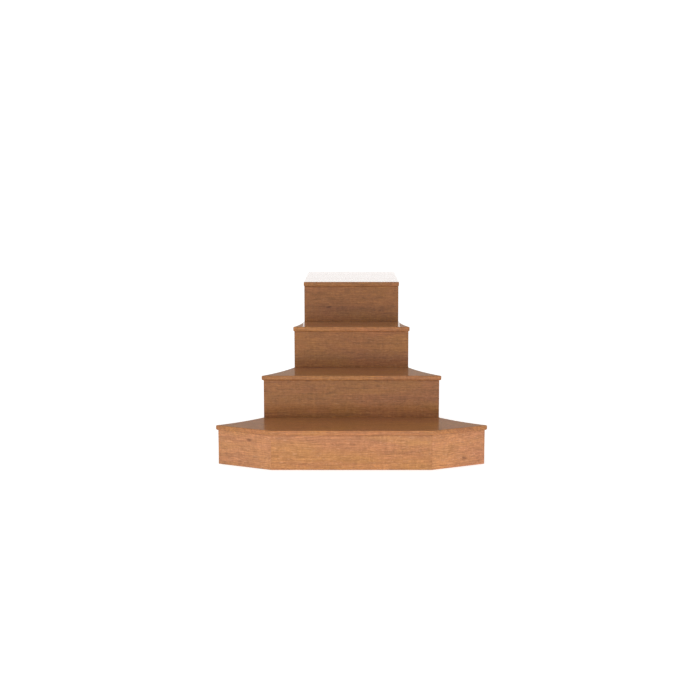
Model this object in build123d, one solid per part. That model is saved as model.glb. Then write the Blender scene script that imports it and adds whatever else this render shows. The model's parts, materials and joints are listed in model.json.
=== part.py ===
from build123d import *
import math
import os

# Spa steps: a rigid timber staircase that stands between two round tubs.
# The frame is in millimetres: +Z up, +X to the right of someone who climbs, +Y the way that they climb.
# The origin is on the floor, at the middle of the footprint.

# Driving dimensions of the flight
FIRST_RISE = 225
RISE = 245
GOINGS = (360, 300, 275)
NOSING = 10
PLATFORM_DEPTH = 840
CENTER_FACET_HALF = 442
FACET_ANGLE = 25.5

# Plan of the sides: an arc beside the flight, round a tub, which runs into straight sides at the platform
PLATFORM_HALF_WIDTH = 293
SIDE_ARC_RADIUS = 975
SIDE_ARC_END = 37

# Boards
TREAD_THICK = 28
RISER_THICK = 20
SIDE_PANEL_THICK = 10
BACK_BOARD_THICK = 15
BACK_OVERHANG = 8
BACK_BOARD_COUNT = 3
DRYING_GAP = 6
SIDE_OVERHANG = 3
NOSING_TOP_RADIUS = 4
NOSING_BOTTOM_RADIUS = 8
PLATFORM_BOARDS = ("front", "middle", "back")
SPLINE_WIDTH = 24
SPLINE_THICK = 8
SPLINE_MARGIN = 30

# Frame timbers
POST = 45
HEADER_HEIGHT = 45
RAIL_THICK = 28
RAIL_HEIGHT = 68
RIB_WIDTH = 40
RIB_HEIGHT = 45
SOLE_WIDTH = 70
SOLE_THICK = 28
CORNER_POST_REACH = 90
FIT_GAP = 1
BEARER_COUNTS = (3, 2, 2, 3)
BEARER_SPACINGS = (300, 260, 200, 120)

# Floor pads
PAD_THICK = 3
PAD_RADIUS = 20

# Wood screws for treads, risers and ledgers, and the long screws of the frame
SCREW_RADIUS = 2.5
SCREW_LENGTH = 53
SCREW_HEAD_RADIUS = 5
SCREW_HEAD_HEIGHT = 3
SCREW_SOCKET_RADIUS = 1.6
SCREW_GRIP = 39
LONG_SCREW_RADIUS = 3
LONG_SCREW_LENGTH = 90
LONG_SCREW_HEAD_RADIUS = 6
LONG_SCREW_HEAD_HEIGHT = 4
COUNTERBORE_PLAY = 0.5
SCREW_SPREAD = 0.75
TREAD_SCREW_COUNTS = (4, 4, 3, 4)
RISER_SCREW_X = 160
LEVEL_BORE = 7
FRAME_BORE = 7

# Screw places: along a side facet, from the centre facet, and each way from the middle board's centre
FACET_RISER_SCREW = 170
FACET_TREAD_SCREWS = (110, 215)
FACET_POST_SCREW = 269
MIDDLE_BOARD_SCREW = 80

# Heights of the treads and the platform, and the face line of each riser
TREAD_TOPS = [FIRST_RISE + RISE * step for step in range(4)]
DEPTH = sum(GOINGS) + PLATFORM_DEPTH
FRONT = -DEPTH / 2
BACK = DEPTH / 2
RISER_FACES = [FRONT + NOSING + sum(GOINGS[:step]) for step in range(4)]
BACK_BOARD_FACE = BACK - BACK_OVERHANG - BACK_BOARD_THICK
BACK_POST_FACE = BACK_BOARD_FACE - POST

# Centre of the right side's arc
ARC_X = PLATFORM_HALF_WIDTH + SIDE_ARC_RADIUS
ARC_Y = RISER_FACES[3] + SIDE_ARC_END

# Limits of the blanks before they are cut: half of the width, a side facet's length, and beyond every part
WIDE = ARC_X
FACET_REACH = CENTER_FACET_HALF
FAR = 3000

# Insets from the treads' side edges
PANEL_OUTER = SIDE_OVERHANG
PANEL_INNER = SIDE_OVERHANG + SIDE_PANEL_THICK


def block(x_low, x_high, y_low, y_high, z_low, z_high):
    """A rectangular board or post between the given limits."""
    size = Box(x_high - x_low, y_high - y_low, z_high - z_low)
    return Pos((x_low + x_high) / 2, (y_low + y_high) / 2, (z_low + z_high) / 2) * size


def prism(points, z_low, z_high):
    """A vertical prism over a plan polygon."""
    plan = make_face(Polyline(*points, close=True))
    return Pos(0, 0, z_low) * extrude(plan, z_high - z_low, dir=(0, 0, 1))


def side_half_width(y, inset):
    """Half of the plan's width at one depth, for a line inset from the treads' side edges."""
    if y >= ARC_Y:
        return PLATFORM_HALF_WIDTH - inset
    return ARC_X - math.sqrt((SIDE_ARC_RADIUS + inset) ** 2 - (y - ARC_Y) ** 2)


def between_sides(solid, inset):
    """The part of a solid that lies between the two side lines at the given inset."""
    for side in (-1, 1):
        straight = sorted((side * (PLATFORM_HALF_WIDTH - inset), side * ARC_X))
        solid -= Pos(side * ARC_X, ARC_Y, 0) * Cylinder(SIDE_ARC_RADIUS + inset, FAR)
        solid -= block(*straight, ARC_Y, FAR, -FAR, FAR)
    return solid


def facet_corner(offset):
    """Where the centre facet meets the right side facet, for lines offset outwards from the riser faces."""
    shift = offset * math.tan(math.radians(FACET_ANGLE / 2))
    return CENTER_FACET_HALF + shift, RISER_FACES[0] - offset


def along_facet(offset, distance):
    """A point on the right side facet's line, at a distance from its corner with the centre facet."""
    x, y = facet_corner(offset)
    angle = math.radians(FACET_ANGLE)
    return x + distance * math.cos(angle), y + distance * math.sin(angle)


def facet_end(offset):
    """A point on the right side facet's line, past the side of the flight."""
    return along_facet(offset, FACET_REACH)


def facet_meets_side(offset, inset):
    """Where the right side facet's line meets the side line."""
    x, y = facet_corner(offset)
    x_far, y_far = along_facet(offset, 1)
    x_step = x_far - x
    y_step = y_far - y
    x_arc = x - ARC_X
    y_arc = y - ARC_Y
    middle = x_arc * x_step + y_arc * y_step
    excess = x_arc**2 + y_arc**2 - (SIDE_ARC_RADIUS + inset) ** 2
    return along_facet(offset, -middle - math.sqrt(middle**2 - excess))


def mirror_points(points, side):
    """Plan points as they are for the right side, or mirrored for the left."""
    return [(side * x, y) for x, y in points]


def facet_strip(outer, inner, side, z_low, z_high):
    """A board that runs along a side facet, mitred to the centre one."""
    points = [facet_corner(outer), facet_end(outer), facet_end(inner), facet_corner(inner)]
    return prism(mirror_points(points, side), z_low, z_high)


def center_strip(outer, inner, z_low, z_high):
    """A board that runs along the centre facet, mitred at both ends."""
    right = [facet_corner(outer), facet_corner(inner)]
    left = mirror_points(right, -1)[::-1]
    return prism(right + left, z_low, z_high)


def behind_facets(solid, offset):
    """The part of a solid that lies behind the faceted front line."""
    right = [facet_corner(offset), facet_end(offset)]
    left = mirror_points(right, -1)[::-1]
    plan = right + [(FAR, right[-1][1]), (FAR, FAR), (-FAR, FAR), (-FAR, left[0][1])] + left
    return solid & prism(plan, -FAR, FAR)


def one_side(solid, side):
    """The part of a solid on the left (-1) or the right (1) of the centre line."""
    limits = sorted((0, side * FAR))
    return solid & block(*limits, -FAR, FAR, -FAR, FAR)


def strip_along_side(outer, inner, side, y_low, y_high, z_low, z_high):
    """A curved board that follows a side, between two insets."""
    whole = between_sides(block(-WIDE, WIDE, y_low, y_high, z_low, z_high), outer)
    core = between_sides(block(-WIDE, WIDE, y_low - 10, y_high + 10, z_low - 1, z_high + 1), inner)
    return one_side(whole - core, side)


def side_name(side):
    return "left" if side < 0 else "right"


def turned_screw(radius, length, head_radius, head_height):
    """A screw with a pan head at the origin and its shank along +Z, with a conical tip."""
    tip = 2 * radius
    shank = Pos(0, 0, (length - tip) / 2) * Cylinder(radius, length - tip)
    point = Pos(0, 0, length - tip / 2) * Cone(radius, radius / 4, tip)
    head = Pos(0, 0, -head_height / 2) * Cylinder(head_radius, head_height)
    socket = Pos(0, 0, -head_height * 0.75) * Cylinder(SCREW_SOCKET_RADIUS, head_height / 2)
    return head + shank + point - socket


def screw_hole(radius, length, head_radius, bore_length):
    """The hole for a screw: the shank's bore, and a counterbore behind the head."""
    shank = Pos(0, 0, length / 2) * Cylinder(radius, length)
    counterbore = Pos(0, 0, -bore_length / 2) * Cylinder(head_radius + COUNTERBORE_PLAY, bore_length)
    return shank + counterbore


class Assembly:
    """Named nodes, each a list of solids, and the screws that pass through them."""

    def __init__(self):
        self.nodes = {}

    def add(self, name, solid):
        self.nodes.setdefault(name, []).extend(solid.solids())

    def drive(self, name, place, kind, bore_length, targets):
        """Put a screw in place and cut its hole in each node that it passes through."""
        radius, length, head_radius, head_height = kind
        self.add(name, place * turned_screw(radius, length, head_radius, head_height))
        hole = place * screw_hole(radius, length, head_radius, bore_length)
        for target in targets:
            self.nodes[target] = [
                solid
                for old in self.nodes[target]
                for solid in ((old - hole).solids() if touches(old, hole) else [old])
            ]

    def write(self, folder):
        os.makedirs(folder, exist_ok=True)
        for name, solids in self.nodes.items():
            shape = solids[0] if len(solids) == 1 else Compound(children=solids)
            shape.label = name
            export_step(shape, os.path.join(folder, f"{name}.step"))


def touches(solid, other):
    """Whether two shapes' boxes overlap."""
    a = solid.bounding_box()
    b = other.bounding_box()
    apart = (
        a.min.X > b.max.X or b.min.X > a.max.X or
        a.min.Y > b.max.Y or b.min.Y > a.max.Y or
        a.min.Z > b.max.Z or b.min.Z > a.max.Z
    )
    return not apart


SHORT_SCREW = (SCREW_RADIUS, SCREW_LENGTH, SCREW_HEAD_RADIUS, SCREW_HEAD_HEIGHT)
LONG_SCREW = (LONG_SCREW_RADIUS, LONG_SCREW_LENGTH, LONG_SCREW_HEAD_RADIUS, LONG_SCREW_HEAD_HEIGHT)


def level(edge):
    """Whether an edge lies at one height."""
    return edge.bounding_box().size.Z < 0.01


def round_front(solid, front_limit, z, radius):
    """Round a tread's front edges at one height."""
    edges = [e for e in solid.edges() if level(e) and e.geom_type == GeomType.LINE]
    front = [e for e in edges if e.center().Y < front_limit and abs(e.center().Z - z) < 0.01]
    return fillet(front, radius)


def round_nosing(solid, front_limit, top):
    """Round a tread's front edges: a little on top, where feet land, and more below."""
    solid = round_front(solid, front_limit, top, NOSING_TOP_RADIUS)
    return round_front(solid, front_limit, top - TREAD_THICK, NOSING_BOTTOM_RADIUS)


def make_treads(parts):
    for step in range(3):
        top = TREAD_TOPS[step]
        back = RISER_FACES[step + 1] + RISER_THICK
        blank = block(-WIDE, WIDE, RISER_FACES[step] - NOSING, back, top - TREAD_THICK, top)
        blank = between_sides(blank, 0)
        if step == 0:
            blank = behind_facets(blank, NOSING)
        parts.add(f"tread_{step + 1}", round_nosing(blank, back - RISER_THICK, top))


def platform_joint(index):
    """The depth of the joint behind one platform board."""
    return RISER_FACES[3] - NOSING + PLATFORM_DEPTH * (index + 1) / len(PLATFORM_BOARDS)


def make_platform(parts):
    """Boards across the platform, with a loose tongue in each joint."""
    top = TREAD_TOPS[3]
    start = platform_joint(-1)
    blank = between_sides(block(-WIDE, WIDE, start, BACK, top - TREAD_THICK, top), 0)
    blank = round_nosing(blank, start + 1, top)
    low = top - (TREAD_THICK + SPLINE_THICK) / 2
    reach = PLATFORM_HALF_WIDTH - SPLINE_MARGIN
    for index in range(len(PLATFORM_BOARDS) - 1):
        y = platform_joint(index)
        half = SPLINE_WIDTH / 2
        parts.add("platform_splines", block(-reach, reach, y - half, y + half, low, low + SPLINE_THICK))
    for spline in parts.nodes["platform_splines"]:
        blank -= spline
    for index, name in enumerate(PLATFORM_BOARDS):
        y_low = platform_joint(index - 1)
        y_high = platform_joint(index)
        board = blank & block(-WIDE, WIDE, y_low, y_high, 0, top + 1)
        parts.add(f"platform_{name}", board)


def make_risers(parts):
    low = PAD_THICK
    high = TREAD_TOPS[0] - TREAD_THICK
    parts.add("riser_1_center", center_strip(0, -RISER_THICK, low, high))
    for side in (-1, 1):
        strip = facet_strip(0, -RISER_THICK, side, low, high)
        parts.add(f"riser_1_{side_name(side)}", between_sides(strip, PANEL_OUTER))
    for step in range(1, 4):
        face = RISER_FACES[step]
        low = TREAD_TOPS[step - 1]
        high = TREAD_TOPS[step] - TREAD_THICK
        board = block(-WIDE, WIDE, face, face + RISER_THICK, low, high)
        parts.add(f"riser_{step + 1}", between_sides(board, PANEL_OUTER))


def make_side_panels(parts):
    """One curved panel a step: each starts behind its riser and ends behind the next one."""
    starts = [FRONT] + [face + RISER_THICK for face in RISER_FACES[1:]]
    ends = starts[1:] + [BACK_BOARD_FACE]
    for step in range(4):
        for side in (-1, 1):
            low = PAD_THICK
            high = TREAD_TOPS[step] - TREAD_THICK
            panel = strip_along_side(PANEL_OUTER, PANEL_INNER, side, starts[step], ends[step], low, high)
            if step == 0:
                panel = behind_facets(panel, -RISER_THICK)
            parts.add(f"side_panel_{step + 1}_{side_name(side)}", panel)


def make_back_boards(parts):
    low = PAD_THICK
    high = TREAD_TOPS[3] - TREAD_THICK
    height = (high - low - DRYING_GAP * (BACK_BOARD_COUNT - 1)) / BACK_BOARD_COUNT
    for index, name in enumerate(("lower", "middle", "upper")):
        z = low + index * (height + DRYING_GAP)
        board = block(-WIDE, WIDE, BACK_BOARD_FACE, BACK_BOARD_FACE + BACK_BOARD_THICK, z, z + height)
        parts.add(f"back_board_{name}", between_sides(board, PANEL_OUTER))


def corner_post(side, z_low, z_high):
    """The post in a front corner: it fills the angle between the side facet and the side panel."""
    x_corner = facet_meets_side(-RISER_THICK, PANEL_INNER)[0]
    limits = sorted((side * (x_corner - CORNER_POST_REACH), side * ARC_X))
    blank = block(*limits, FRONT, RISER_FACES[1], z_low, z_high)
    return behind_facets(between_sides(blank, PANEL_INNER), -RISER_THICK)


def post_lines():
    """The name, front face and tread top of each pair of posts behind a riser and at the back."""
    lines = []
    for step in range(1, 4):
        front = RISER_FACES[step] + RISER_THICK
        lines.append((f"post_{step + 1}", front, TREAD_TOPS[step]))
    lines.append(("post_5", BACK_POST_FACE, TREAD_TOPS[3]))
    return lines


def post_outer_x(front):
    """The outer side of a post, where the side panel leaves the least room for it."""
    return min(side_half_width(front, PANEL_INNER), side_half_width(front + POST, PANEL_INNER)) - FIT_GAP


def make_posts(parts):
    low = PAD_THICK + SOLE_THICK
    for name, front, top in post_lines():
        outer = post_outer_x(front)
        for side in (-1, 1):
            limits = sorted((side * outer, side * (outer - POST)))
            high = top - TREAD_THICK - HEADER_HEIGHT
            parts.add(f"{name}_{side_name(side)}", block(*limits, front, front + POST, low, high))
    high = TREAD_TOPS[0] - TREAD_THICK - HEADER_HEIGHT
    outer = facet_corner(-RISER_THICK - POST)[0]
    front = RISER_FACES[0] + RISER_THICK
    for side in (-1, 1):
        limits = sorted((side * outer, side * (outer - POST)))
        name = f"post_1_inner_{side_name(side)}"
        parts.add(name, block(*limits, front, front + POST, PAD_THICK, high))
        parts.add(f"post_1_outer_{side_name(side)}", corner_post(side, PAD_THICK, high))


def make_headers(parts):
    """Rails on top of the posts, flush under the treads and the platform."""
    high = TREAD_TOPS[0] - TREAD_THICK
    low = high - HEADER_HEIGHT
    near = -RISER_THICK
    far = -RISER_THICK - POST
    parts.add("header_1_center", center_strip(near, far, low, high))
    for side in (-1, 1):
        strip = facet_strip(near, far, side, low, high)
        parts.add(f"header_1_{side_name(side)}", between_sides(strip, PANEL_INNER))
    for name, front, top in post_lines():
        high = top - TREAD_THICK
        rail = block(-WIDE, WIDE, front, front + POST, high - HEADER_HEIGHT, high)
        parts.add(name.replace("post", "header"), between_sides(rail, PANEL_INNER))


def make_ledgers(parts):
    """Rails on the front faces of the posts, under the back edge of each tread."""
    for step in range(3):
        high = TREAD_TOPS[step] - TREAD_THICK
        back = RISER_FACES[step + 1] + RISER_THICK
        rail = block(-WIDE, WIDE, back - RAIL_THICK, back, high - RAIL_HEIGHT, high)
        parts.add(f"ledger_{step + 1}", between_sides(rail, PANEL_INNER))


def bearer_span(step):
    """The front and back ends of the joists and ribs under one tread, or under the platform."""
    front = RISER_FACES[step] + RISER_THICK + POST
    back = RISER_FACES[step + 1] + RISER_THICK - RAIL_THICK if step < 3 else BACK_POST_FACE
    return front, back


def make_bearers(parts):
    names = ("bearers_1", "bearers_2", "bearers_3", "platform_bearers")
    for step in range(4):
        front, back = bearer_span(step)
        high = TREAD_TOPS[step] - TREAD_THICK
        half = RAIL_THICK / 2
        for index in range(BEARER_COUNTS[step]):
            x = BEARER_SPACINGS[step] * (index - (BEARER_COUNTS[step] - 1) / 2)
            parts.add(names[step], block(x - half, x + half, front, back, high - RAIL_HEIGHT, high))


def make_side_ribs(parts):
    inner = PANEL_INNER + RIB_WIDTH
    for step in range(4):
        front, back = bearer_span(step)
        high = TREAD_TOPS[step] - TREAD_THICK
        for side in (-1, 1):
            start = FRONT if step == 0 else front
            rib = strip_along_side(PANEL_INNER, inner, side, start, back, high - RIB_HEIGHT, high)
            if step == 0:
                rib = behind_facets(rib, -RISER_THICK - POST)
            parts.add(f"side_ribs_{step + 1}", rib)


def make_soles(parts):
    low = PAD_THICK
    high = PAD_THICK + SOLE_THICK
    for side in (-1, 1):
        inner = PANEL_INNER + SOLE_WIDTH
        sole = strip_along_side(PANEL_INNER, inner, side, FRONT, BACK_BOARD_FACE, low, high)
        sole = behind_facets(sole, -RISER_THICK) - corner_post(side, low, high)
        parts.add(f"sole_{side_name(side)}", sole)


def make_cross_ties(parts):
    for front in (RISER_FACES[1] + RISER_THICK, RISER_FACES[3] + RISER_THICK, BACK_POST_FACE):
        tie = block(-WIDE, WIDE, front, front + POST, PAD_THICK, PAD_THICK + SOLE_THICK)
        parts.add("cross_ties", between_sides(tie, PANEL_INNER + SOLE_WIDTH))


def pad_places():
    """Plan positions of the rubber pads on the right side: one under each post."""
    inner_x = facet_corner(-RISER_THICK - POST)[0] - POST / 2
    places = [(inner_x, RISER_FACES[0] + RISER_THICK + POST / 2)]
    box = corner_post(1, PAD_THICK, PAD_THICK + 1).center()
    places.append((box.X, box.Y))
    for _, front, _ in post_lines():
        places.append((post_outer_x(front) - POST / 2, front + POST / 2))
    return places


def make_floor_pads(parts):
    for x, y in pad_places():
        for side in (-1, 1):
            parts.add("floor_pads", Pos(side * x, y, PAD_THICK / 2) * Cylinder(PAD_RADIUS, PAD_THICK))


def upward(x, y, z):
    """A place for a screw that is driven upwards from z."""
    return Pos(x, y, z)


def downward(x, y, z):
    """A place for a screw that is driven downwards from z."""
    return Pos(x, y, z) * Rot(180, 0, 0)


def level_screw(x, y, z, heading):
    """A place for a level screw: heading 0 drives it along -Y, and 180 along +Y."""
    return Pos(x, y, z) * Rot(0, 0, heading) * Rot(90, 0, 0)


def screw_row(parts, rail, y, rail_height, half_width, step):
    """A row of screws driven up through one rail into the tread or the platform on it."""
    treads = [f"tread_{step + 1}"] if step < 3 else ["platform_front", "platform_back"]
    seat = TREAD_TOPS[step] - TREAD_THICK - SCREW_GRIP
    bore = rail_height - SCREW_GRIP + 1
    last = TREAD_SCREW_COUNTS[step] - 1
    for index in range(TREAD_SCREW_COUNTS[step]):
        x = half_width * SCREW_SPREAD * (2 * index / last - 1)
        parts.drive("wood_screws", upward(x, y, seat), SHORT_SCREW, bore, [rail] + treads)


def screw_treads(parts):
    """Screws through the headers and ledgers into the treads and the platform."""
    for step in range(4):
        front, back = bearer_span(step)
        header = "header_1_center" if step == 0 else f"header_{step + 1}"
        half = side_half_width(front, PANEL_INNER) if step else CENTER_FACET_HALF
        screw_row(parts, header, front - POST / 2, HEADER_HEIGHT, half, step)
        half = side_half_width(back, PANEL_INNER)
        if step < 3:
            half = side_half_width(back + RAIL_THICK, PANEL_INNER)
            screw_row(parts, f"ledger_{step + 1}", back + RAIL_THICK / 2, RAIL_HEIGHT, half, step)
        else:
            screw_row(parts, "header_5", back + POST / 2, HEADER_HEIGHT, half, step)
    screw_facet_treads(parts)
    screw_middle_board(parts)


def screw_facet_treads(parts):
    """Screws up through the side facets' headers into the bottom tread."""
    seat = TREAD_TOPS[0] - TREAD_THICK - SCREW_GRIP
    bore = HEADER_HEIGHT - SCREW_GRIP + 1
    for distance in FACET_TREAD_SCREWS:
        x, y = along_facet(-RISER_THICK - POST / 2, distance)
        for side in (-1, 1):
            targets = [f"header_1_{side_name(side)}", "tread_1"]
            parts.drive("wood_screws", upward(side * x, y, seat), SHORT_SCREW, bore, targets)


def screw_middle_board(parts):
    """Screws up through the platform's joists into its middle board."""
    seat = TREAD_TOPS[3] - TREAD_THICK - SCREW_GRIP
    bore = RAIL_HEIGHT - SCREW_GRIP + 1
    middle = (platform_joint(0) + platform_joint(1)) / 2
    for index in (-1, 0, 1):
        for side in (-1, 1):
            place = upward(index * BEARER_SPACINGS[3], middle + side * MIDDLE_BOARD_SCREW, seat)
            parts.drive("wood_screws", place, SHORT_SCREW, bore, ["platform_bearers", "platform_middle"])


def screw_risers(parts):
    """Screws driven forwards through the headers into the backs of the risers."""
    bore = POST - SCREW_GRIP + 1
    for step in range(4):
        z = TREAD_TOPS[step] - TREAD_THICK - HEADER_HEIGHT / 2
        seat = RISER_FACES[step] + RISER_THICK + SCREW_GRIP
        header = "header_1_center" if step == 0 else f"header_{step + 1}"
        riser = "riser_1_center" if step == 0 else f"riser_{step + 1}"
        for side in (-1, 1):
            place = level_screw(side * RISER_SCREW_X, seat, z, 0)
            parts.drive("wood_screws", place, SHORT_SCREW, bore, [header, riser])
    x, y = along_facet(-RISER_THICK - SCREW_GRIP, FACET_RISER_SCREW)
    z = TREAD_TOPS[0] - TREAD_THICK - HEADER_HEIGHT / 2
    for side in (-1, 1):
        name = side_name(side)
        place = level_screw(side * x, y, z, side * FACET_ANGLE)
        parts.drive("wood_screws", place, SHORT_SCREW, bore, [f"header_1_{name}", f"riser_1_{name}"])


def screw_ledgers(parts):
    """Screws driven backwards through the ledgers into the posts."""
    for step in range(3):
        name, front, _ = post_lines()[step]
        x = post_outer_x(front) - POST / 2
        z = TREAD_TOPS[step] - TREAD_THICK - RAIL_HEIGHT / 2
        seat = front - RAIL_THICK + SCREW_HEAD_HEIGHT
        for side in (-1, 1):
            place = level_screw(side * x, seat, z, 180)
            targets = [f"ledger_{step + 1}", f"{name}_{side_name(side)}"]
            parts.drive("wood_screws", place, SHORT_SCREW, LEVEL_BORE, targets)


def screw_frame(parts):
    """Long screws down through the headers and up through the soles, into the posts."""
    for name, front, top in post_lines():
        x = post_outer_x(front) - POST / 2
        y = front + POST / 2
        header_top = top - TREAD_THICK
        for side in (-1, 1):
            post = f"{name}_{side_name(side)}"
            seat = header_top - LONG_SCREW_HEAD_HEIGHT
            header = name.replace("post", "header")
            parts.drive("frame_screws", downward(side * x, y, seat), LONG_SCREW, FRAME_BORE, [header, post])
            seat = PAD_THICK + LONG_SCREW_HEAD_HEIGHT
            sole = f"sole_{side_name(side)}"
            parts.drive("frame_screws", upward(side * x, y, seat), LONG_SCREW, FRAME_BORE, [sole, post])
    screw_front_posts(parts)


def screw_front_posts(parts):
    """Long screws down through the bottom step's headers into its front posts."""
    seat = TREAD_TOPS[0] - TREAD_THICK - LONG_SCREW_HEAD_HEIGHT
    x_inner, y_inner = pad_places()[0]
    x_outer, y_outer = along_facet(-RISER_THICK - POST / 2, FACET_POST_SCREW)
    for side in (-1, 1):
        name = side_name(side)
        inner = ["header_1_center", f"post_1_inner_{name}"]
        outer = [f"header_1_{name}", f"post_1_outer_{name}"]
        parts.drive("frame_screws", downward(side * x_inner, y_inner, seat), LONG_SCREW, FRAME_BORE, inner)
        parts.drive("frame_screws", downward(side * x_outer, y_outer, seat), LONG_SCREW, FRAME_BORE, outer)


def main():
    parts = Assembly()
    make_treads(parts)
    make_platform(parts)
    make_risers(parts)
    make_side_panels(parts)
    make_back_boards(parts)
    make_posts(parts)
    make_headers(parts)
    make_ledgers(parts)
    make_bearers(parts)
    make_side_ribs(parts)
    make_soles(parts)
    make_cross_ties(parts)
    make_floor_pads(parts)
    screw_treads(parts)
    screw_risers(parts)
    screw_ledgers(parts)
    screw_frame(parts)
    parts.write("parts")


main()
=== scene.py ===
import json
import math

import bmesh
import bpy
import numpy as np
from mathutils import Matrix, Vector


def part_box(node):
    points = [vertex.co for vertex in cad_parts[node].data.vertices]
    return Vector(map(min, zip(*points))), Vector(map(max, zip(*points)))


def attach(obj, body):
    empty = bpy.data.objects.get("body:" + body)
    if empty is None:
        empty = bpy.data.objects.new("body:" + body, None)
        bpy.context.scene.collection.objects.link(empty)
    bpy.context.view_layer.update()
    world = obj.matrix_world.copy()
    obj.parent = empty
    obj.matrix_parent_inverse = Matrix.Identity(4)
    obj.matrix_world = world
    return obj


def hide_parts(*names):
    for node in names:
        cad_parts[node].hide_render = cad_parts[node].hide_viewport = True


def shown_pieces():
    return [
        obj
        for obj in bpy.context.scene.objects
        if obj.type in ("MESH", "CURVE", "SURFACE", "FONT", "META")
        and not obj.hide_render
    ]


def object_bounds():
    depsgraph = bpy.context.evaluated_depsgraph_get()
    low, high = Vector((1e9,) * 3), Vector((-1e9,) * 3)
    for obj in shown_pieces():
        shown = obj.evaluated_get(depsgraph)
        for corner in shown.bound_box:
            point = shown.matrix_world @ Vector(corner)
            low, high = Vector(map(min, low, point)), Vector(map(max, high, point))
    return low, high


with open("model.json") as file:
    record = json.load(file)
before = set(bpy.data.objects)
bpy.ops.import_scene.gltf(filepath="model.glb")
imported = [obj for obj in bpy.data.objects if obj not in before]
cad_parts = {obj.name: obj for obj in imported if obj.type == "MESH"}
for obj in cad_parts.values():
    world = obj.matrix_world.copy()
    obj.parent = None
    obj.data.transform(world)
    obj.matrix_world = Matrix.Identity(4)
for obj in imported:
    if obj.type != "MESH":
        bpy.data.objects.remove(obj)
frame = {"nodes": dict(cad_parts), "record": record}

# Spa steps. Everything is in metres, in the CAD model's frame: +Z up, +Y the way that a person climbs.
CAD_LOW, CAD_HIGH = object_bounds()
NODES = frame["nodes"]

# Plan of the steps: an arc beside the flight, round a tub, and straight sides at the platform
FACET_ANGLE = math.radians(25.5)
SIDE_ARC_RADIUS = 0.975
SIDE_ARC_END = 0.037
NOSING = 0.010
PANEL_OUTER = 0.003
PANEL_INNER = 0.013
FRONT_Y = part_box("riser_1_center")[0].y
TREAD_TOPS = [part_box(name)[1].z for name in ("tread_1", "tread_2", "tread_3")]
CENTER_FACET_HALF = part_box("riser_1_center")[1].x
PLATFORM_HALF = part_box("platform_middle")[1].x
ARC_X = PLATFORM_HALF + SIDE_ARC_RADIUS
ARC_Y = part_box("riser_4")[0].y + SIDE_ARC_END

# Edges of the boards and timbers
NOSING_TOP_RADIUS = 0.004
NOSING_BOTTOM_RADIUS = 0.008
JOINT_RADIUS = 0.0014
BACK_RADIUS = 0.003
ROUNDING_STEPS = 6
SIDE_STEPS = 28
CORNER_REACH = 0.004
CORNER_STEPS = 4
BOARD_EASING = 0.0012
TIMBER_EASING = 0.0013
EASING_STEPS = 3

# V-joints of the side panels, which carry on the lines of the treads
JOINT_HALF_WIDTH = 0.0022
JOINT_DEPTH = 0.0018

# How meshes are smoothed, and how the CAD nodes are joined up and cleaned before their edges are eased
SMOOTH_ANGLE = math.radians(35)
BROAD_FACE_WEIGHT = 100
SAME_POINT = 1e-6
WELD_DISTANCE = 1e-5
FLAT_ANGLE = math.radians(0.2)
EASED_ANGLE = math.radians(40)
EASED_SEGMENTS = 2

# Screws. The lobes of the socket reach out to shares of its radius.
SCREWS = {
    "wood_screws": {
        "radius": 0.0025,
        "head": 0.005,
        "head_height": 0.003,
        "pitch": 0.0026,
        "socket": 0.0016,
    },
    "frame_screws": {
        "radius": 0.003,
        "head": 0.006,
        "head_height": 0.004,
        "pitch": 0.0034,
        "socket": 0.0021,
    },
}
SCREW_SIDES = 18
SOCKET_LOBES = 6
LOBE_OUTER = 1.12
LOBE_INNER = 0.8

# Rings of a screw's head: (share of a radius, depth as a share of the head's height). The radius is that of
# the socket's lobes, of the head and of the shank.
SOCKET_RINGS = ((0.55, 0.55), (1.0, 0.5), (1.0, 0.04))
DOME_RINGS = ((0.5, 0.0), (0.78, 0.04), (0.92, 0.2), (0.99, 0.5), (1.0, 0.8), (0.96, 1.0))
NECK_RINGS = ((1.3, 1.0), (0.86, 1.15))

# Thread: its share of the length below the head, the rings to a turn, and how narrow its crest is. The core,
# the tip's length and the tip's radius are shares of the screw's radius.
THREAD_SHARE = 0.6
THREAD_ROWS = 3
THREAD_SHARPNESS = 3
THREAD_CORE = 0.7
TIP_LENGTH = 4
TIP_RADIUS = 0.04

# Floor pads. The middle ring and the grooves lie at shares of the pad's radius. The bulge is a share of the
# easing.
PAD_SIDES = 40
PAD_MIDDLE = 0.05
PAD_GROOVES = (0.45, 0.7)
GROOVE_HALF = 0.0008
GROOVE_DEPTH = 0.0008
PAD_EASING = 0.0007
PAD_BULGE = 0.3

# How light each kind of board is: factors on red, green and blue, by what the piece's name starts with.
# The first that fits counts. The risers above the lowest and the platform are darker for painted shade,
# and the lowest riser, most of all its side facets, lighter for painted light.
TONES_WITH_PAINTED_LIGHT = {
    "riser_1_left": (1.08, 1.19, 1.44),
    "riser_1_right": (1.20, 1.26, 1.64),
    "riser_1": (1.03, 1.08, 1.20),
    "riser": (0.755, 0.74, 0.725),
    "tread": (0.93, 0.93, 0.95),
    "platform": (0.82, 0.82, 0.83),
    "side_panel": (0.90, 0.89, 0.88),
    "back_board": (0.90, 0.89, 0.88),
}
PLAIN_TONE = (1.0, 1.0, 1.0)
TONE_SWING = 0.03
TONE_TURN = 2.4

# Where in the log each next piece is cut: further along it, and nearer to or further from the pith
LOG_STEP = 1.37
PITH_STEP = 0.071
PITH_RANGE = 0.16
PITH_Y = 1.4
PITH_Z = 0.35

# Which of a piece's own axes become (along the grain, across it, across it)
GRAIN_AXES = {
    "across": ("X", "Y", "Z"),
    "deep": ("Y", "X", "Z"),
    "upright": ("Z", "X", "Y"),
    "level": ("Y", None, "Z"),
}

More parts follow.
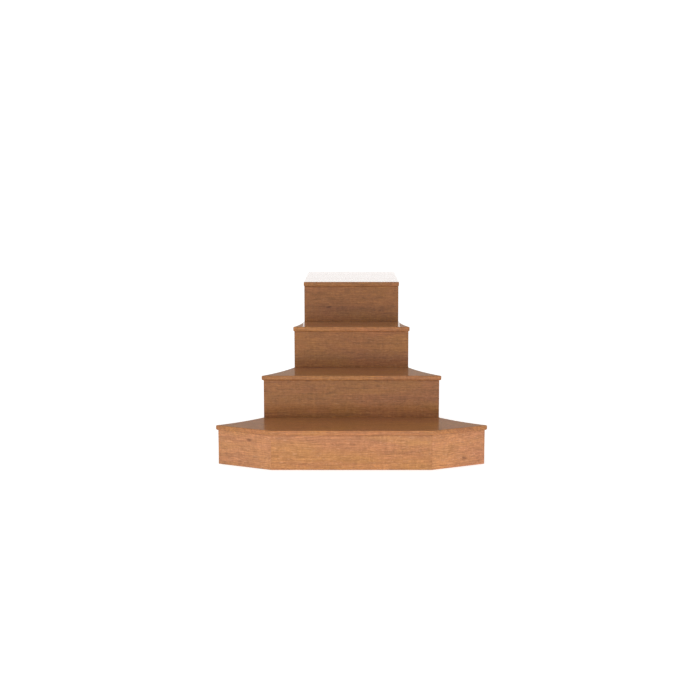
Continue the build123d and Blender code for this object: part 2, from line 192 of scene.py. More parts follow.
# Camera
CAMERA_DISTANCE = 6.307
CAMERA_HEIGHT = 1.575
CAMERA_SIDEWAYS = -0.0085
CAMERA_PITCH = math.radians(8.17)
CAMERA_LENS = 60.5
CAMERA_SENSOR = 36.0
CAMERA_FAR = 200.0

# Floor, and its shaded part inside the frame
FLOOR_SIZE = 80.0
FLOOR_GREY = (0.72, 0.72, 0.72, 1)
FLOOR_GLOW = 0.62
SHADE_MARGIN = 0.035
SHADE_LIFT = 0.0005

# Cards in the tubs' place. They fade out at the top, and over a lead and a tail, in radians, at their ends.
CARD_COLOUR = (0.46, 0.36, 0.30, 1)
CARD_GAP = 0.008
CARD_FOOT = 0.001
CARD_FULL_HEIGHT = 0.80
CARD_HEIGHT = 0.95
CARD_LEAD = 0.12
CARD_TAIL = 0.6
CARD_STEPS = 36

# Surround: white up to a little above the horizon, and grey overhead. The ends are sines of the elevation.
HORIZON_END = 0.15
OVERHEAD_START = 0.20
OVERHEAD_LEVEL = 0.47
SURROUND_STRENGTH = 1.4

# Lights: a low strip before the lowest riser, and a large one from the front left
FILL_AHEAD = 0.9
FILL_HEIGHT = 0.13
FILL_SIZE = (2.2, 0.22)
FILL_POWER = 6.0
KEY_LEFT = 1.6
KEY_AHEAD = 3.0
KEY_HEIGHT = 3.2
KEY_AIM_HEIGHT = 0.4
KEY_SIZE = (2.6, 2.0)
KEY_POWER = 20.0

WHITE = (1, 1, 1, 1)
BLACK = (0, 0, 0, 1)


def srgb(red, green, blue):
    """A colour given as 0-255 sRGB, in linear RGBA."""
    channels = []
    for value in (red / 255, green / 255, blue / 255):
        channels.append(value / 12.92 if value <= 0.04045 else ((value + 0.055) / 1.055) ** 2.4)
    return (*channels, 1.0)


# ---------------------------------------------------------------- materials


class Shader:
    """A material's node tree, with a short call for each kind of node that the patterns use."""

    def __init__(self, name):
        self.material = bpy.data.materials.new(name)
        self.material.use_nodes = True
        self.tree = self.material.node_tree
        self.surface = self.tree.nodes["Principled BSDF"]

    def put(self, socket, value):
        if isinstance(value, bpy.types.NodeSocket):
            self.tree.links.new(value, socket)
        else:
            socket.default_value = value

    def node(self, kind, inputs, **settings):
        node = self.tree.nodes.new(kind)
        for key, value in settings.items():
            setattr(node, key, value)
        for key, value in inputs.items():
            self.put(node.inputs[key], value)
        return node

    def set(self, **values):
        """Set the surface shader's own sockets. An underscore stands for a space in a socket's name."""
        for key, value in values.items():
            self.put(self.surface.inputs[key.replace("_", " ")], value)

    def math(self, operation, first, second=0.0, third=0.0):
        return self.node("ShaderNodeMath", {0: first, 1: second, 2: third}, operation=operation).outputs[0]

    def scaled(self, value, factor):
        return self.math("MULTIPLY", value, factor)

    def vector(self, operation, first, second):
        return self.node("ShaderNodeVectorMath", {0: first, 1: second}, operation=operation).outputs[0]

    def place(self):
        """A point's place in the frame, because every piece's own origin is the frame's."""
        return self.node("ShaderNodeTexCoord", {}).outputs["Object"]

    def stretched(self, vector, along, across):
        """The vector scaled for a pattern with so many features per metre, along and across the grain."""
        return self.vector("MULTIPLY", vector, (along, across, across))

    def noise(self, vector, detail, distortion=0.0, output="Fac"):
        inputs = {"Vector": vector, "Scale": 1.0, "Detail": detail, "Distortion": distortion}
        return self.node("ShaderNodeTexNoise", inputs).outputs[output]

    def pattern(self, place, along, across, detail, distortion=0.0):
        """Noise with so many features per metre, along and across the grain."""
        return self.noise(self.stretched(place, along, across), detail, distortion)

    def sway(self, place, along, across, width):
        """A noise vector across the grain, up to half of the width each way."""
        swing = self.noise(self.stretched(place, along, across), 2, output="Color")
        return self.vector("MULTIPLY", self.vector("SUBTRACT", swing, (0.5, 0.5, 0.5)), (0, width, width))

    def ramp(self, value, *stops):
        """A value mapped through stops, each (position, grey level)."""
        node = self.node("ShaderNodeValToRGB", {"Fac": value})
        elements = node.color_ramp.elements
        while len(elements) < len(stops):
            elements.new(0.5)
        for element, (position, level) in zip(elements, stops):
            element.position = position
            element.color = (level, level, level, 1)
        return node.outputs["Color"]

    def blend(self, factor, first, second, mode="MIX"):
        node = self.node("ShaderNodeMix", {}, data_type="RGBA", blend_type=mode)
        for index, value in ((0, factor), (6, first), (7, second)):
            self.put(node.inputs[index], value)
        return node.outputs[2]

    def stain(self, colour, mask, strength, other):
        """The colour, and up to so much of another where the mask is 1."""
        return self.blend(self.scaled(mask, strength), colour, other)

    def vary(self, colour, value, darkest, lightest, low=0.30, high=0.70):
        """The colour made darker where the value is low and lighter where it is high."""
        return self.blend(1.0, colour, self.ramp(value, (low, darkest), (high, lightest)), "MULTIPLY")

    def tinted(self, colour):
        """The colour times each piece's tone, with painted light and shade on the risers and platform."""
        return self.blend(1.0, colour, self.own("tone", "Color"), "MULTIPLY")

    def bump(self, height, strength, distance):
        inputs = {"Height": height, "Strength": strength, "Distance": distance}
        return self.node("ShaderNodeBump", inputs).outputs["Normal"]

    def own(self, name, output):
        """A vector or colour that each piece carries as a custom property."""
        node = self.node("ShaderNodeAttribute", {}, attribute_type="OBJECT", attribute_name=name)
        return node.outputs[output]

    def painted(self, name):
        """A value that a piece's mesh carries at each vertex, or 0 where it has none."""
        node = self.node("ShaderNodeAttribute", {}, attribute_type="GEOMETRY", attribute_name=name)
        return node.outputs["Fac"]


def grain_place(shader, grain, turn=0.0):
    """Where a point lies in the log, in metres: x along the grain, and the pith along y = z = 0."""
    place = shader.place()
    if turn:
        place = shader.node("ShaderNodeMapping", {"Vector": place, "Rotation": (0, 0, -turn)}).outputs[0]
    parts = shader.node("ShaderNodeSeparateXYZ", {"Vector": place}).outputs
    values = [parts[axis] if axis else 0.0 for axis in GRAIN_AXES[grain]]
    turned = shader.node("ShaderNodeCombineXYZ", dict(enumerate(values))).outputs[0]
    return shader.vector("ADD", turned, shader.own("grain_shift", "Vector"))


def growth_rings(shader, place, ring_width, wander):
    """How dark the growth ring is at a point, from 0 in the early wood to 1 at the end of the late wood."""
    flat = shader.vector("MULTIPLY", place, (0, 1, 1))
    bent = shader.vector("ADD", flat, shader.sway(place, 0.9, 3.0, wander))
    radius = shader.node("ShaderNodeVectorMath", {0: bent}, operation="LENGTH").outputs["Value"]
    uneven = shader.pattern(place, 1.6, 30, 2)
    count = shader.math("MULTIPLY_ADD", radius, 1 / ring_width, shader.scaled(uneven, 3.0))
    share = shader.math("FRACT", count)
    return shader.ramp(share, (0, 0.1), (0.45, 0.3), (0.85, 0.9), (0.93, 1), (1, 0.1))


def knots(shader, place, along, across):
    """Small knots: 1 in the middle of each, in so many cells per metre along and across the grain."""
    inputs = {"Vector": shader.stretched(place, along, across), "Scale": 1.0, "Randomness": 1.0}
    distance = shader.node("ShaderNodeTexVoronoi", inputs).outputs["Distance"]
    return shader.ramp(distance, (0.03, 1), (0.08, 0))


def hardwood(name, grain, turn=0.0):
    """Reddish-brown hardwood under a satin clear coat."""
    s = Shader(name)
    place = grain_place(s, grain, turn)
    rings = growth_rings(s, place, 0.0085, 0.05)
    place = s.vector("ADD", place, s.sway(place, 7, 12, 0.035))
    fibre = s.pattern(place, 18, 330, 4)
    pores = s.ramp(s.pattern(place, 42, 1250, 1), (0.60, 0), (0.68, 1))
    bands = s.pattern(place, 1.8, 32, 3, 0.5)
    blush = s.pattern(place, 2.6, 9, 2, 0.6)
    figure = s.pattern(place, 17, 105, 2, 1.5)
    ripple = s.pattern(place, 75, 24, 2, 0.7)
    flecks = s.ramp(s.pattern(place, 34, 210, 2, 0.6), (0.58, 0), (0.72, 1))
    streaks = s.ramp(s.pattern(place, 3.6, 80, 3, 0.5), (0.56, 0), (0.74, 1))
    scuffs = s.ramp(s.pattern(place, 30, 260, 3), (0.42, 0), (0.62, 1))
    wear = s.math("MULTIPLY", s.painted("edge_wear"), scuffs)

    golden = srgb(177, 119, 64)
    reddish = srgb(175, 113, 68)
    colour = s.blend(s.ramp(blush, (0.36, 0), (0.64, 1)), golden, reddish)
    colour = s.stain(colour, rings, 0.36, srgb(122, 75, 42))
    colour = s.stain(colour, streaks, 0.34, srgb(104, 62, 34))
    colour = s.vary(colour, bands, 0.91, 1.06)
    colour = s.vary(colour, figure, 0.80, 1.16)
    colour = s.vary(colour, ripple, 0.90, 1.08, low=0.32, high=0.68)
    colour = s.vary(colour, fibre, 0.86, 1.10)
    colour = s.stain(colour, flecks, 0.30, srgb(202, 149, 106))
    colour = s.stain(colour, pores, 0.45, srgb(84, 45, 26))
    colour = s.stain(colour, knots(s, place, 3.2, 9), 0.65, srgb(84, 42, 24))
    colour = s.tinted(colour)
    colour = s.stain(colour, wear, 0.20, srgb(182, 130, 86))

    roughness = s.math("MULTIPLY_ADD", fibre, 0.16, s.math("MULTIPLY_ADD", wear, 0.16, 0.30))
    height = s.math("ADD", s.scaled(fibre, 0.7), s.scaled(rings, 0.25))
    height = s.math("SUBTRACT", height, s.scaled(pores, 0.6))
    s.set(Base_Color=colour, Roughness=roughness, Normal=s.bump(height, 0.35, 0.0004))
    s.set(Coat_Weight=s.ramp(wear, (0, 1.0), (1, 0.6)))
    s.set(Coat_Roughness=0.12, Coat_IOR=1.3, IOR=1.45, Specular_IOR_Level=0.15)
    return s.material


def softwood(name, grain, turn=0.0):
    """Planed, unfinished pine for the frame."""
    s = Shader(name)
    place = grain_place(s, grain, turn)
    rings = growth_rings(s, place, 0.0042, 0.03)
    fibre = s.pattern(place, 10, 420, 4)
    bands = s.pattern(place, 1.0, 18, 2)
    plane_marks = s.pattern(place, 420, 6, 1)

    early_wood = srgb(226, 196, 148)
    late_wood = srgb(190, 136, 78)
    colour = s.blend(s.scaled(rings, 0.7), early_wood, late_wood)
    colour = s.vary(colour, bands, 0.90, 1.06)
    colour = s.vary(colour, fibre, 0.92, 1.05)
    colour = s.stain(colour, knots(s, place, 4, 9), 0.85, srgb(112, 66, 36))
    colour = s.tinted(colour)

    height = s.math("ADD", s.scaled(rings, 0.5), s.scaled(fibre, 0.5))
    height = s.math("ADD", height, s.scaled(plane_marks, 0.25))
    s.set(Base_Color=colour, Roughness=s.ramp(fibre, (0.3, 0.58), (0.7, 0.74)))
    s.set(Normal=s.bump(height, 0.4, 0.0005))
    return s.material


def zinc():
    """Zinc-plated steel with a faint yellow passivation and fine scratches."""
    s = Shader("zinc_plate")
    place = s.place()
    cloud = s.noise(s.vector("MULTIPLY", place, (160, 160, 160)), 3)
    scratch = s.noise(s.vector("MULTIPLY", place, (2600, 2600, 300)), 2)
    colour = s.blend(s.ramp(cloud, (0.35, 0), (0.65, 1)), srgb(206, 208, 206), srgb(204, 196, 168))
    s.set(Base_Color=colour, Metallic=1.0, Roughness=s.ramp(scratch, (0.3, 0.26), (0.7, 0.42)))
    s.set(Normal=s.bump(scratch, 0.15, 0.00005))
    return s.material


def rubber():
    """Matt black rubber with a fine moulded grain and a little dust."""
    s = Shader("black_rubber")
    place = s.place()
    pebble = s.noise(s.vector("MULTIPLY", place, (2200, 2200, 2200)), 2)
    dust = s.ramp(s.noise(s.vector("MULTIPLY", place, (90, 90, 90)), 3), (0.5, 0), (0.7, 1))
    colour = s.blend(s.scaled(dust, 0.35), srgb(34, 34, 35), srgb(82, 79, 75))
    s.set(Base_Color=colour, Roughness=s.ramp(pebble, (0.3, 0.66), (0.7, 0.88)))
    s.set(Normal=s.bump(pebble, 0.5, 0.0002))
    return s.material


TREAD_WOOD = hardwood("hardwood_across", "across")
PANEL_WOOD = hardwood("hardwood_level", "level")
FACET_WOOD = {
    "left": hardwood("hardwood_facet_left", "across", -FACET_ANGLE),
    "right": hardwood("hardwood_facet_right", "across", FACET_ANGLE),
}
TIMBER = {grain: softwood(f"pine_{grain}", grain) for grain in ("across", "deep", "upright")}
FACET_TIMBER = {
    "left": softwood("pine_facet_left", "across", -FACET_ANGLE),
    "right": softwood("pine_facet_right", "across", FACET_ANGLE),
}
ZINC = zinc()
RUBBER = rubber()


# ---------------------------------------------------------------- plan lines


def side_x(y, inset):
    """Half of the plan's width at one depth, for a line inset from the treads' side edges."""
    if y >= ARC_Y:
        return PLATFORM_HALF - inset
    return ARC_X - math.sqrt((SIDE_ARC_RADIUS + inset) ** 2 - (y - ARC_Y) ** 2)


def facet_corner(offset):
    """Where the centre facet meets the right side facet, for lines offset outwards from the riser faces."""
    return Vector((CENTER_FACET_HALF + offset * math.tan(FACET_ANGLE / 2), FRONT_Y - offset))


def facet_meets_side(offset, inset):
    """Where the right side facet's line meets the side line."""
    start = facet_corner(offset)
    along = Vector((math.cos(FACET_ANGLE), math.sin(FACET_ANGLE)))
    from_arc = start - Vector((ARC_X, ARC_Y))
    middle = from_arc.dot(along)
    excess = from_arc.length_squared - (SIDE_ARC_RADIUS + inset) ** 2
    return start + along * (-middle - math.sqrt(middle**2 - excess))


def quarter_turns(steps):
    """The angles of a quarter circle in so many steps."""
    return [math.pi / 2 * step / steps for step in range(steps + 1)]


def ease(distance, radius):
    """How far a rounded edge stands back, at a distance from the face that it starts on."""
    if distance >= radius:
        return 0.0
    return radius - math.sqrt(radius**2 - (radius - distance) ** 2)


def soft_corner(before, corner, after):
    """Points of a small curve in place of a plan corner."""
    start = corner + (before - corner).normalized() * CORNER_REACH
    end = corner + (after - corner).normalized() * CORNER_REACH
    points = []
    for step in range(CORNER_STEPS + 1):
        t = step / CORNER_STEPS
        points.append(start * (1 - t) ** 2 + corner * 2 * t * (1 - t) + end * t**2)
    return points


def mirrored(points):
    """Plan points of the right side carried over to the left, in the order that closes the outline."""
    return [Vector((-point.x, point.y)) for point in reversed(points)]


def board_outline(front, back, insets, faceted):
    """Plan of a tread or a platform board, anticlockwise, with its front, sides and back inset."""
    front_inset, side_inset, back_inset = insets
    if faceted:
        start = facet_corner(NOSING - front_inset)
        corner = facet_meets_side(NOSING - front_inset, side_inset)
    else:
        start = Vector((0, front + front_inset))
        corner = Vector((side_x(front + front_inset, side_inset), front + front_inset))
    end = Vector((side_x(back - back_inset, side_inset), back - back_inset))
    side = []
    for step in range(1, SIDE_STEPS):
        y = corner.y + (end.y - corner.y) * step / SIDE_STEPS
        side.append(Vector((side_x(y, side_inset), y)))
    right = soft_corner(start, corner, side[0]) + side + soft_corner(side[-1], end, Vector((0, end.y)))
    if faceted:
        right = soft_corner(Vector((0, start.y)), start, corner) + right
    return right + mirrored(right)


# ---------------------------------------------------------------- boards


def weigh_normals(piece):
    """Keep broad faces flat in shading, and let only the narrow edges turn."""
    modifier = piece.modifiers.new("flat_faces", "WEIGHTED_NORMAL")
    modifier.keep_sharp = True
    modifier.weight = BROAD_FACE_WEIGHT


def add_piece(name, vertices, faces, material, slot, node):
    """Link a new mesh that stands for a CAD node and rides on the steps."""
    mesh = bpy.data.meshes.new(name)
    mesh.from_pydata(vertices, [], faces)
    mesh.shade_smooth()
    mesh.set_sharp_from_angle(angle=SMOOTH_ANGLE)
    mesh.materials.append(material)
    piece = bpy.data.objects.new(name, mesh)
    bpy.context.scene.collection.objects.link(piece)
    weigh_normals(piece)
    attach(piece, "root")
    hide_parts(node)
    return piece


def paint(mesh, name, values):
    """Give each vertex of a mesh a value that a shader can read."""
    mesh.attributes.new(name, "FLOAT", "POINT").data.foreach_set("value", np.array(values, np.float32))


def skin(rings):
    """The vertices and faces of a closed solid through rings of as many points, capped at both ends."""
    count = len(rings[0])
    faces = [tuple(reversed(range(count)))]
    for level in range(len(rings) - 1):
        low = level * count
        high = low + count
        for index in range(count):
            following = (index + 1) % count
            faces.append((low + index, low + following, high + following, high + index))
    last = (len(rings) - 1) * count
    faces.append(tuple(range(last, last + count)))
    vertices = [point for ring in rings for point in ring]
    return vertices, faces


def joined(solids):
    """The vertices and faces of several solids as one mesh."""
    vertices = []
    faces = []
    for new_vertices, new_faces in solids:
        first = len(vertices)
        vertices.extend(new_vertices)
        faces.extend(tuple(first + index for index in face) for face in new_faces)
    return vertices, faces


def make_board(node, radii, faceted=False):
    """A tread or a platform board. The radii round its front, side and back edges."""
    low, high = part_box(node)
    turns = quarter_turns(ROUNDING_STEPS)
    levels = [(low.z, 1, NOSING_BOTTOM_RADIUS, turn) for turn in turns]
    levels += [(high.z, -1, NOSING_TOP_RADIUS, turn) for turn in reversed(turns)]
    rings = []
    wear = []
    for face_z, inwards, largest, turn in levels:
        rise = largest * (1 - math.cos(turn))
        insets = [ease(rise, min(radius, largest)) for radius in radii]
        outline = board_outline(low.y, high.y, insets, faceted)
        rings.append([(point.x, point.y, face_z + inwards * rise) for point in outline])
        wear.extend([math.sin(2 * turn)] * len(outline))
    piece = add_piece(f"{node}_board", *skin(rings), TREAD_WOOD, "tread_wood", node)
    paint(piece.data, "edge_wear", wear)


def make_boards():
    """The treads and the three platform boards, rounded where they overhang and eased where they meet."""
    nosing = NOSING_BOTTOM_RADIUS
    make_board("tread_1", (nosing, nosing, JOINT_RADIUS), faceted=True)
    for node in ("tread_2", "tread_3", "platform_front"):
        make_board(node, (nosing, nosing, JOINT_RADIUS))
    make_board("platform_middle", (JOINT_RADIUS, nosing, JOINT_RADIUS))
    make_board("platform_back", (JOINT_RADIUS, nosing, BACK_RADIUS))


def panel_profile(z_low, z_high, joints):
    """Upright section of a side panel: (depth behind the outer face, height), with its V-joints."""
    foot = []
    for turn in quarter_turns(EASING_STEPS):
        foot.append((BOARD_EASING * (1 - math.sin(turn)), z_low + BOARD_EASING * (1 - math.cos(turn))))
    head = [(depth, z_low + z_high - z) for depth, z in reversed(foot)]
    face = []
    for z in joints:
        face += [(0, z - JOINT_HALF_WIDTH), (JOINT_DEPTH, z), (0, z + JOINT_HALF_WIDTH)]
    thickness = PANEL_INNER - PANEL_OUTER
    return foot + face + head + [(thickness, z_high), (thickness, z_low)]


def make_side_panel(step, side):
    """A panel under one tread, bent to the side's arc, with V-joints in line with the treads below."""
    name = f"side_panel_{step + 1}_{'left' if side < 0 else 'right'}"
    low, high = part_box(name)
    profile = panel_profile(low.z, high.z, TREAD_TOPS[:step])
    length = high.y - low.y
    ends = [BOARD_EASING * (1 - math.cos(turn)) for turn in quarter_turns(EASING_STEPS)]
    middles = [length * part / SIDE_STEPS for part in range(1, SIDE_STEPS)]
    stations = ends + middles + [length - end for end in reversed(ends)]
    rings = []
    for along in stations:
        back_off = ease(min(along, length - along), BOARD_EASING)
        y = low.y + along
        ring = [(side * side_x(y, PANEL_OUTER + max(depth, back_off)), y, z) for depth, z in profile]
        rings.append(ring if side < 0 else ring[::-1])
    add_piece(f"{name}_boards", *skin(rings), PANEL_WOOD, "panel_wood", name)


def make_side_panels():
    """The panels with V-joints. The lowest pair has none, and stays as the CAD model has it."""
    for step in (1, 2, 3):
        for side in (-1, 1):
            make_side_panel(step, side)


# ---------------------------------------------------------------- screws and pads


def islands(node):
    """The vertices of each separate solid in a CAD node, as arrays."""
    mesh = bmesh.new()
    mesh.from_mesh(NODES[node].data)
    bmesh.ops.remove_doubles(mesh, verts=mesh.verts, dist=SAME_POINT)
    waiting = set(mesh.verts)
    found = []
    while waiting:
        stack = [waiting.pop()]
        group = []
        while stack:
            vertex = stack.pop()
            group.append(vertex.co[:])
            for edge in vertex.link_edges:
                other = edge.other_vert(vertex)
                if other in waiting:
                    waiting.remove(other)
                    stack.append(other)
        found.append(np.array(group))
    mesh.free()
    return sorted(found, key=lambda group: tuple(np.round(group.mean(0), 5)))


def screw_axis(points):
    """The top of a screw's head, the direction that it points in, and its whole length."""
    centre = (points.min(0) + points.max(0)) / 2
    spread = np.cov((points - centre).T)
    axis = np.linalg.eigh(spread)[1][:, -1]
    along = (points - centre) @ axis
    away = np.linalg.norm(points - centre - np.outer(along, axis), axis=1)
    if along[away.argmax()] > 0:
        axis = -axis
        along = -along
    return Vector(centre + axis * along.min()), Vector(axis), float(along.max() - along.min())


def round_ring(radius):
    """The same radius on every side of a screw."""
    return [radius] * SCREW_SIDES


def head_rings(kind):
    """Rings of a screw's head: (radius on each side, depth), from the socket's floor to the neck."""
    height = kind["head_height"]
    sides_per_lobe = SCREW_SIDES // SOCKET_LOBES
    lobes = []
    for side in range(SCREW_SIDES):
        share = LOBE_OUTER if side % sides_per_lobe else LOBE_INNER
        lobes.append(kind["socket"] * share)
    rings = [([share * radius for radius in lobes], height * depth) for share, depth in SOCKET_RINGS]
    rings += [(round_ring(kind["head"] * share), height * depth) for share, depth in DOME_RINGS]
    return rings + [(round_ring(kind["radius"] * share), height * depth) for share, depth in NECK_RINGS]


def thread_rings(kind, length):
    """Rings of a screw's thread: (radius on each side, depth), from the smooth shank to the tip."""
    radius = kind["radius"]
    core = radius * THREAD_CORE
    start = length - (length - kind["head_height"]) * THREAD_SHARE
    rows = int((length - start) / kind["pitch"] * THREAD_ROWS)
    rings = []
    for row in range(rows):
        depth = start + (length - start) * row / rows
        taper = min(1.0, (length - depth) / (TIP_LENGTH * radius))
        sides = []
        for side in range(SCREW_SIDES):
            phase = (depth / kind["pitch"] - side / SCREW_SIDES) % 1
            crest = max(0.0, 1 - abs(phase - 0.5) * THREAD_SHARPNESS)
            sides.append((core + (radius - core) * crest) * taper)
        rings.append((sides, depth))
    return rings + [(round_ring(radius * TIP_RADIUS), length)]


def screw_solid(kind, points):
    """A screw in the place of one of the CAD model's: a domed head with a socket, a shank and a thread."""
    top, axis, length = screw_axis(points)
    turn = axis.to_track_quat("Z", "Y").to_matrix()
    rings = []
    for sides, depth in head_rings(kind) + thread_rings(kind, length):
        ring = []
        for side, radius in enumerate(sides):
            angle = 2 * math.pi * side / SCREW_SIDES
            ring.append(top + turn @ Vector((radius * math.cos(angle), radius * math.sin(angle), depth)))
        rings.append(ring)
    return skin(rings)


def make_screws():
    """Every screw of each size, with a six-lobed socket."""
    for node, kind in SCREWS.items():
        solids = [screw_solid(kind, points) for points in islands(node)]
        add_piece(f"{node}_threaded", *joined(solids), ZINC, "zinc_screw", node)


def pad_profile(radius, height):
    """Half section of a floor pad: (radius, height), from the foot's middle to the top's."""
    bulge = PAD_EASING * PAD_BULGE
    points = [(radius * PAD_MIDDLE, 0.0)]
    for share in PAD_GROOVES:
        middle = radius * share
        points += [(middle - GROOVE_HALF, 0.0), (middle, GROOVE_DEPTH), (middle + GROOVE_HALF, 0.0)]
    edge = [(radius - PAD_EASING, 0.0), (radius - bulge, bulge), (radius, PAD_EASING)]
    points += edge + [(reach, height - rise) for reach, rise in reversed(edge)]
    return points + [(radius * PAD_MIDDLE, height)]


def pad_solid(points):
    """A pad in the place of one of the CAD model's."""
    low = points.min(0)
    high = points.max(0)
    centre = (low + high) / 2
    rings = []
    for radius, height in pad_profile((high[0] - low[0]) / 2, high[2] - low[2]):
        ring = []
        for side in range(PAD_SIDES):
            angle = 2 * math.pi * side / PAD_SIDES
            x = centre[0] + radius * math.cos(angle)
            ring.append((x, centre[1] + radius * math.sin(angle), low[2] + height))
        rings.append(ring)
    return skin(rings)


def make_pads():
    """Round rubber pads with two grooves in the foot of each."""
    solids = [pad_solid(points) for points in islands("floor_pads")]
    add_piece("floor_pads_moulded", *joined(solids), RUBBER, "pad_rubber", "floor_pads")


# ---------------------------------------------------------------- CAD nodes that stay


def finish_node(node, material, easing):
    """Give a CAD node its material, and ease its edges without touching its own mesh."""
    piece = NODES[node]
    piece.material_slots[0].material = material
    weld = piece.modifiers.new("weld", "WELD")
    weld.merge_threshold = WELD_DISTANCE
    planar = piece.modifiers.new("planar", "DECIMATE")
    planar.decimate_type = "DISSOLVE"
    planar.angle_limit = FLAT_ANGLE
    bevel = piece.modifiers.new("eased_edges", "BEVEL")
    bevel.width = easing
    bevel.segments = EASED_SEGMENTS
    bevel.limit_method = "ANGLE"
    bevel.angle_limit = EASED_ANGLE
    bevel.use_clamp_overlap = False
    bevel.loop_slide = False
    weigh_normals(piece)


def timber_material(node):
    """The pine that has its grain along a frame timber."""
    if node in ("header_1_left", "header_1_right"):
        return FACET_TIMBER[node.split("_")[-1]]
    if node.startswith("post"):
        return TIMBER["upright"]
    if node.startswith(("bearers", "platform_bearers", "side_ribs", "sole")):
        return TIMBER["deep"]
    return TIMBER["across"]


def finish_cad_nodes():
    """Finish every CAD node that no new piece replaces."""
    slots = {row["node"]: row["material_slot"] for row in frame["record"]["subparts"]}
    for node, piece in sorted(NODES.items()):
        if piece.hide_render:
            continue
        if slots[node] == "riser_wood":
            side = node.split("_")[-1]
            finish_node(node, FACET_WOOD.get(side, TREAD_WOOD), BOARD_EASING)
        elif slots[node] == "panel_wood":
            board = TREAD_WOOD if node.startswith("back_board") else PANEL_WOOD
            finish_node(node, board, BOARD_EASING)
        else:
            finish_node(node, timber_material(node), TIMBER_EASING)


def tone_with_painted_light_of(name):
    """The tone, with painted light and shade, of the first kind of board that a piece's name starts with."""
    for start, tone in TONES_WITH_PAINTED_LIGHT.items():
        if name.startswith(start):
            return tone
    return PLAIN_TONE


def lay_grain():
    """Cut every piece from its own place in the log, so that no pattern runs on into the next board."""
    for index, piece in enumerate(sorted(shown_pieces(), key=lambda found: found.name)):
        across = (index * PITH_STEP) % PITH_RANGE
        lift = TONE_SWING * math.sin(index * TONE_TURN)
        piece["grain_shift"] = (index * LOG_STEP, PITH_Y + across, PITH_Z + across / 2)
        # Tone: painted light and shade on the risers and platform, and a small swing from piece to piece.
        piece["tone"] = tuple(value + lift for value in tone_with_painted_light_of(piece.name))


# ---------------------------------------------------------------- stage


def make_camera():
    """The camera before the steps, a little above them and looking down a little."""
    data = bpy.data.cameras.new("camera")
    data.lens = CAMERA_LENS
    data.sensor_width = CAMERA_SENSOR
    data.clip_end = CAMERA_FAR
    camera = bpy.data.objects.new("camera", data)
    camera.location = (CAMERA_SIDEWAYS, FRONT_Y - CAMERA_DISTANCE, CAMERA_HEIGHT)
    camera.rotation_euler = (math.pi / 2 - CAMERA_PITCH, 0, 0)
    bpy.context.scene.collection.objects.link(camera)
    bpy.context.scene.camera = camera


def add_to_stage(name, mesh, material):
    """Link a mesh that isn't part of the object."""
    mesh.materials.append(material)
    item = bpy.data.objects.new(name, mesh)
    bpy.context.scene.collection.objects.link(item)
    return item


def add_floor(name, half_x, half_y, z, glow):
    """A level rectangle of floor, centred under the steps."""
    s = Shader(name)
    s.set(Base_Color=FLOOR_GREY, Roughness=0.9, Specular_IOR_Level=0.0)
    s.set(Emission_Color=WHITE, Emission_Strength=glow)
    corners = [(-half_x, -half_y, z), (half_x, -half_y, z), (half_x, half_y, z), (-half_x, half_y, z)]
    mesh = bpy.data.meshes.new(name)
    mesh.from_pydata(corners, [], [(0, 1, 2, 3)])
    add_to_stage(name, mesh, s.material)


def make_floor():
    """A plain pale floor that throws light up at the lowest riser, and its shaded part inside the frame."""
    half_x = PLATFORM_HALF - SHADE_MARGIN
    half_y = CAD_HIGH[1] - SHADE_MARGIN
    add_floor("floor", FLOOR_SIZE / 2, FLOOR_SIZE / 2, 0, FLOOR_GLOW)
    add_floor("floor_in_shade", half_x, half_y, SHADE_LIFT, 0)


def card_mesh(name, side):
    """An upright card round a tub's arc, painted with how much of it there is at each vertex."""
    radius = SIDE_ARC_RADIUS - CARD_GAP
    corner = facet_meets_side(NOSING, 0)
    front = math.pi + math.atan2(ARC_Y - corner.y, ARC_X - corner.x) + CARD_LEAD
    back = math.pi - CARD_TAIL
    vertices = []
    cover = []
    for step in range(CARD_STEPS + 1):
        angle = front + (back - front) * step / CARD_STEPS
        x = side * (ARC_X + radius * math.cos(angle))
        y = ARC_Y + radius * math.sin(angle)
        share = min(1.0, (front - angle) / CARD_LEAD, (angle - back) / CARD_TAIL)
        vertices += [(x, y, CARD_FOOT), (x, y, CARD_FULL_HEIGHT), (x, y, CARD_HEIGHT)]
        cover += [share, share, 0.0]
    faces = []
    for step in range(CARD_STEPS):
        for row in (3 * step, 3 * step + 1):
            faces.append((row, row + 3, row + 4, row + 1))
    mesh = bpy.data.meshes.new(name)
    mesh.from_pydata(vertices, [], faces)
    paint(mesh, "cover", cover)
    return mesh


def make_cards():
    """Curved cards in a dim warm tone beside the steps, in the tubs' place. Only reflections see them."""
    s = Shader("card")
    s.set(Base_Color=BLACK, Roughness=1.0, Specular_IOR_Level=0.0)
    s.set(Emission_Color=CARD_COLOUR, Emission_Strength=1.0, Alpha=s.painted("cover"))
    for name, side in (("card_left", -1), ("card_right", 1)):
        card = add_to_stage(name, card_mesh(name, side), s.material)
        card.visible_camera = False
        card.visible_diffuse = False
        card.visible_shadow = False


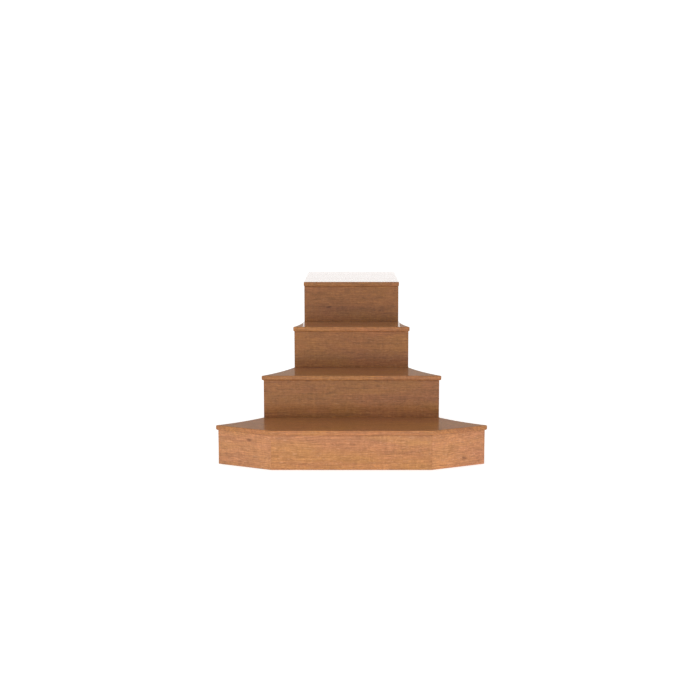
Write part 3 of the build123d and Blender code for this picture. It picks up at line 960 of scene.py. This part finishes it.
def make_world():
    """A surround that is white up to a little above the horizon, and greyer overhead."""
    world = bpy.data.worlds.new("white_surround")
    world.use_nodes = True
    bpy.context.scene.world = world
    tree = world.node_tree
    direction = tree.nodes.new("ShaderNodeTexCoord").outputs["Generated"]
    height = tree.nodes.new("ShaderNodeSeparateXYZ")
    tree.links.new(direction, height.inputs[0])
    ramp = tree.nodes.new("ShaderNodeValToRGB")
    horizon, overhead = ramp.color_ramp.elements
    horizon.position = HORIZON_END
    horizon.color = WHITE
    overhead.position = OVERHEAD_START
    overhead.color = (OVERHEAD_LEVEL, OVERHEAD_LEVEL, OVERHEAD_LEVEL, 1)
    tree.links.new(height.outputs["Z"], ramp.inputs["Fac"])
    background = tree.nodes["Background"]
    tree.links.new(ramp.outputs["Color"], background.inputs["Color"])
    background.inputs["Strength"].default_value = SURROUND_STRENGTH


def add_softbox(name, place, target, size, power):
    """A soft rectangular light, which neither the camera nor a reflection sees."""
    data = bpy.data.lights.new(name, "AREA")
    data.shape = "RECTANGLE"
    data.size, data.size_y = size
    data.energy = power
    lamp = bpy.data.objects.new(name, data)
    lamp.location = place
    lamp.rotation_euler = (Vector(target) - Vector(place)).to_track_quat("-Z", "Y").to_euler()
    lamp.visible_camera = False
    lamp.visible_glossy = False
    bpy.context.scene.collection.objects.link(lamp)


def make_lights():
    """The low strip before the lowest riser, and the large light from the front left."""
    fill = (0, FRONT_Y - FILL_AHEAD, FILL_HEIGHT)
    key = (-KEY_LEFT, FRONT_Y - KEY_AHEAD, KEY_HEIGHT)
    add_softbox("low_fill", fill, (0, FRONT_Y, FILL_HEIGHT), FILL_SIZE, FILL_POWER)
    add_softbox("high_key", key, (0, 0, KEY_AIM_HEIGHT), KEY_SIZE, KEY_POWER)


def set_view():
    """Colours as they are, with no film look."""
    settings = bpy.context.scene.view_settings
    settings.view_transform = "Standard"
    settings.look = "None"
    settings.exposure = 0.0
    settings.gamma = 1.0


make_boards()
make_side_panels()
make_screws()
make_pads()
finish_cad_nodes()
lay_grain()
make_camera()
make_floor()
make_cards()
make_world()
make_lights()
set_view()
